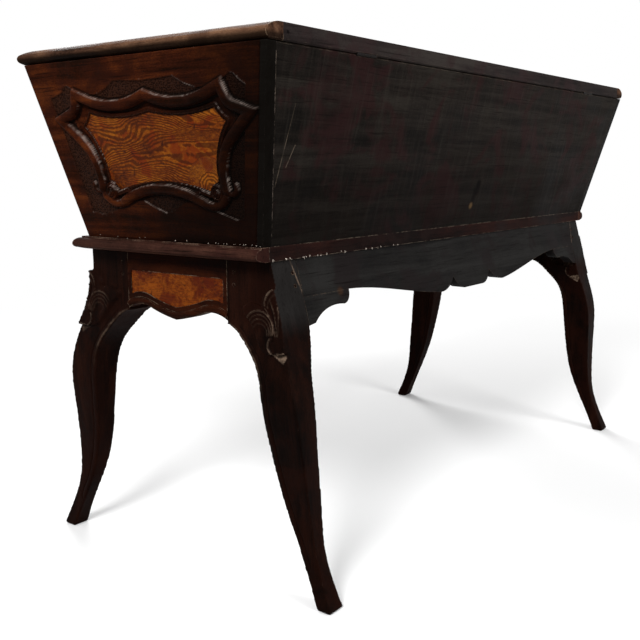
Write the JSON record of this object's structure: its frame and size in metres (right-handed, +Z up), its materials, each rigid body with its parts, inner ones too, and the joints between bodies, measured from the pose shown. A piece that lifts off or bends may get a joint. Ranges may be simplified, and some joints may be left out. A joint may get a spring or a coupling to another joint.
{
  "type": "antique dough box",
  "caption": "Long flared wooden trough with a hinged moulded lid and carved burl panels, on a stand with cabriole legs.",
  "frame": {"origin": "middle of the rectangle round the four feet, on the floor", "axes": "+X along the length to the right-hand end, +Y to the plain back, -Y to the carved front, +Z up"},
  "size_m": [1.302, 0.5736, 0.8],
  "materials": {
    "oak": "dark waxed oak",
    "burl": "waxed burl veneer",
    "iron": "dark hand-forged iron"
  },
  "bodies": {
    "case": {"apron_back": "oak", "apron_end_burl_left": "burl", "apron_end_burl_right": "burl", "apron_end_left": "oak", "apron_end_right": "oak", "apron_front": "oak", "apron_front_burl": "burl", "back_board": "oak", "base_moulding_front": "oak", "base_moulding_left": "oak", "base_moulding_right": "oak", "bottom_board": "oak", "bracket_back_left": "oak", "bracket_back_right": "oak", "end_board_left": "oak", "end_board_right": "oak", "end_burl_panel_left": "burl", "end_burl_panel_right": "burl", "end_cartouche_left": "oak", "end_cartouche_right": "oak", "front_board": "oak", "front_burl_panel_left": "burl", "front_burl_panel_right": "burl", "front_cartouche_left": "oak", "front_cartouche_right": "oak", "hinge_leaf_case_left": "iron", "hinge_leaf_case_right": "iron", "hinge_pins": "iron", "hinge_screws_case": "iron", "leg_back_left": "oak", "leg_back_right": "oak", "leg_front_left": "oak", "leg_front_right": "oak", "stand_pegs_left": "oak", "stand_pegs_right": "oak", "trough_dowels_left": "oak", "trough_dowels_right": "oak"},
    "lid": {"lid_board_front": "oak", "lid_board_rear": "oak", "lid_moulding_front": "oak", "lid_moulding_left": "oak", "lid_moulding_right": "oak", "hinge_leaf_lid_left": "iron", "hinge_leaf_lid_right": "iron", "hinge_screws_lid": "iron"}
  },
  "joints": [
    {"name": "lid_hinge", "type": "hinge", "parent": "case", "child": "lid", "pos_m": [0, 0.25, 0.777], "axis": [-1, 0, 0], "range_deg": [0, 105]}
  ]
}
